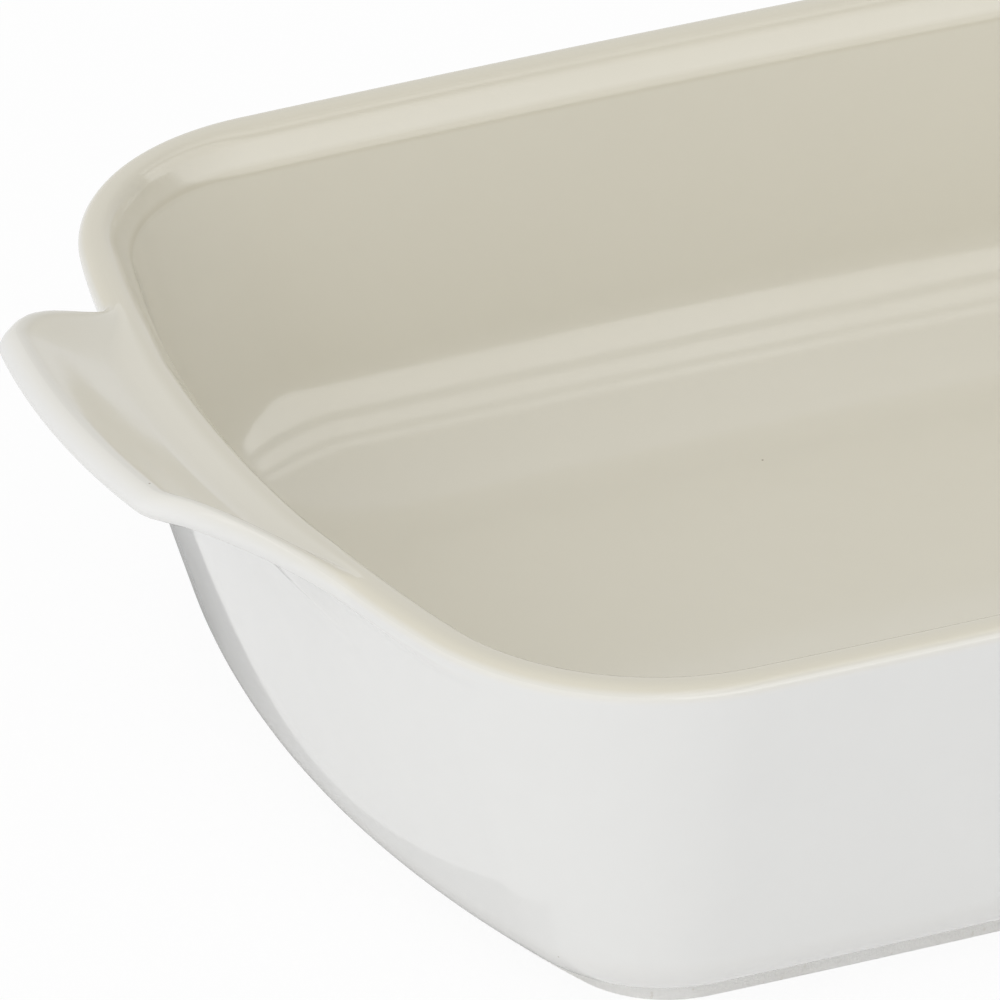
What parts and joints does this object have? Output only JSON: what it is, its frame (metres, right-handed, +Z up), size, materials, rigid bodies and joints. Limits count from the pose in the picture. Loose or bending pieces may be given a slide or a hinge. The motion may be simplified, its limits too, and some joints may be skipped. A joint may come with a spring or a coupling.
{
  "type": "square baking dish",
  "caption": "Deep square glazed stoneware baking dish with bowed ends, rounded corners, a bevelled lip, a low foot ring and an upswept wing handle at each end.",
  "frame": {"origin": "middle of the dish, on the surface that its foot ring stands on", "axes": "+X from one wing handle to the other, +Y across the dish, +Z up out of its mouth"},
  "size_m": [0.327, 0.23, 0.0903],
  "materials": {
    "stoneware": "bare fired stoneware, matte",
    "cream_glaze": "glossy cream glaze",
    "white_glaze": "glossy white glaze"
  },
  "bodies": {
    "root": {"stoneware_body": "stoneware", "interior_glaze": "cream_glaze", "exterior_glaze": "white_glaze", "underside_glaze": "white_glaze"}
  },
  "joints": []
}
